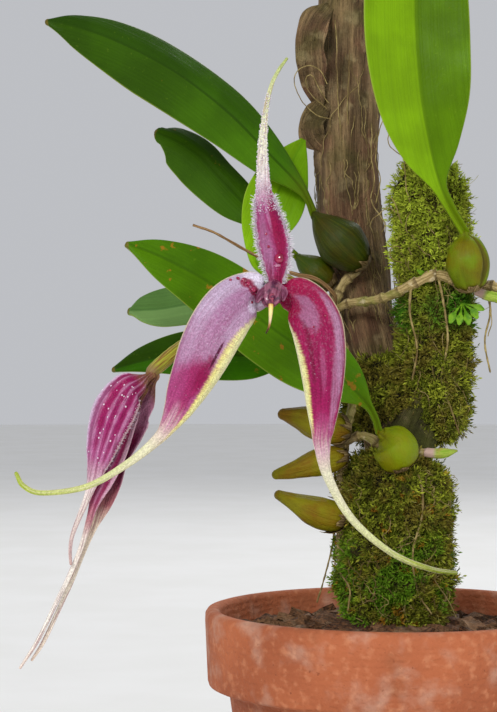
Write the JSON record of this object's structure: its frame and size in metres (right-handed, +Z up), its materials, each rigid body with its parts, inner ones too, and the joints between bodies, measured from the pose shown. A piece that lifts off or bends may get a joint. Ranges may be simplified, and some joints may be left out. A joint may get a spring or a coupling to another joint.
{
  "type": "potted bulbophyllum maxillare orchid",
  "caption": "Flowering maxillare orchid creeping up a mossy forked branch that stands in a plain clay pot of bark.",
  "frame": {"origin": "middle of the pot's flat underside", "axes": "+Z up along the pot's axis; the open flower looks along -Y; +X is to the flower's right as seen from the front"},
  "size_m": [0.1443, 0.1055, 0.2889],
  "materials": {
    "pot": "matte",
    "potting_bark": "matte",
    "branch_wood": "matte",
    "moss": "matte",
    "rhizome": "matte",
    "bulb": "satin",
    "old_bulb": "satin",
    "leaf": "satin",
    "sepal": "satin",
    "column": "satin",
    "lip": "satin",
    "stalk": "satin",
    "dry_stalk": "matte"
  },
  "bodies": {
    "root": {"pot": "pot", "potting_bark": "potting_bark", "branch": "branch_wood", "moss_lower": "moss", "moss_upper": "moss", "moss_fork": "moss", "rhizome_and_roots": "rhizome", "bulb_upper_right": "bulb", "bulb_lower_right": "bulb", "bulb_middle": "bulb", "bulb_back": "bulb", "bulb_centre": "bulb", "bulb_lower_left": "bulb", "bulb_lowest_left": "bulb", "old_bulb_1": "old_bulb", "old_bulb_2": "old_bulb", "old_bulb_3": "old_bulb", "shoot_lower": "leaf", "shoot_upper": "leaf", "leaf_upper_right": "leaf", "leaf_centre": "leaf", "leaf_upper_left": "leaf", "leaf_short_left": "leaf", "leaf_back": "leaf", "leaf_lower_left": "leaf", "leaf_lowest_left": "leaf", "flower_stalk": "stalk", "sepal_dorsal": "sepal", "sepal_lateral_left": "sepal", "sepal_lateral_right": "sepal", "petal_left": "column", "petal_right": "column", "flower_column": "column", "flower_lip": "lip", "bud_stalk": "stalk", "bud_sepal_dorsal": "sepal", "bud_sepal_lateral_left": "sepal", "bud_sepal_lateral_right": "sepal", "spent_stalk": "dry_stalk"}
  },
  "joints": []
}
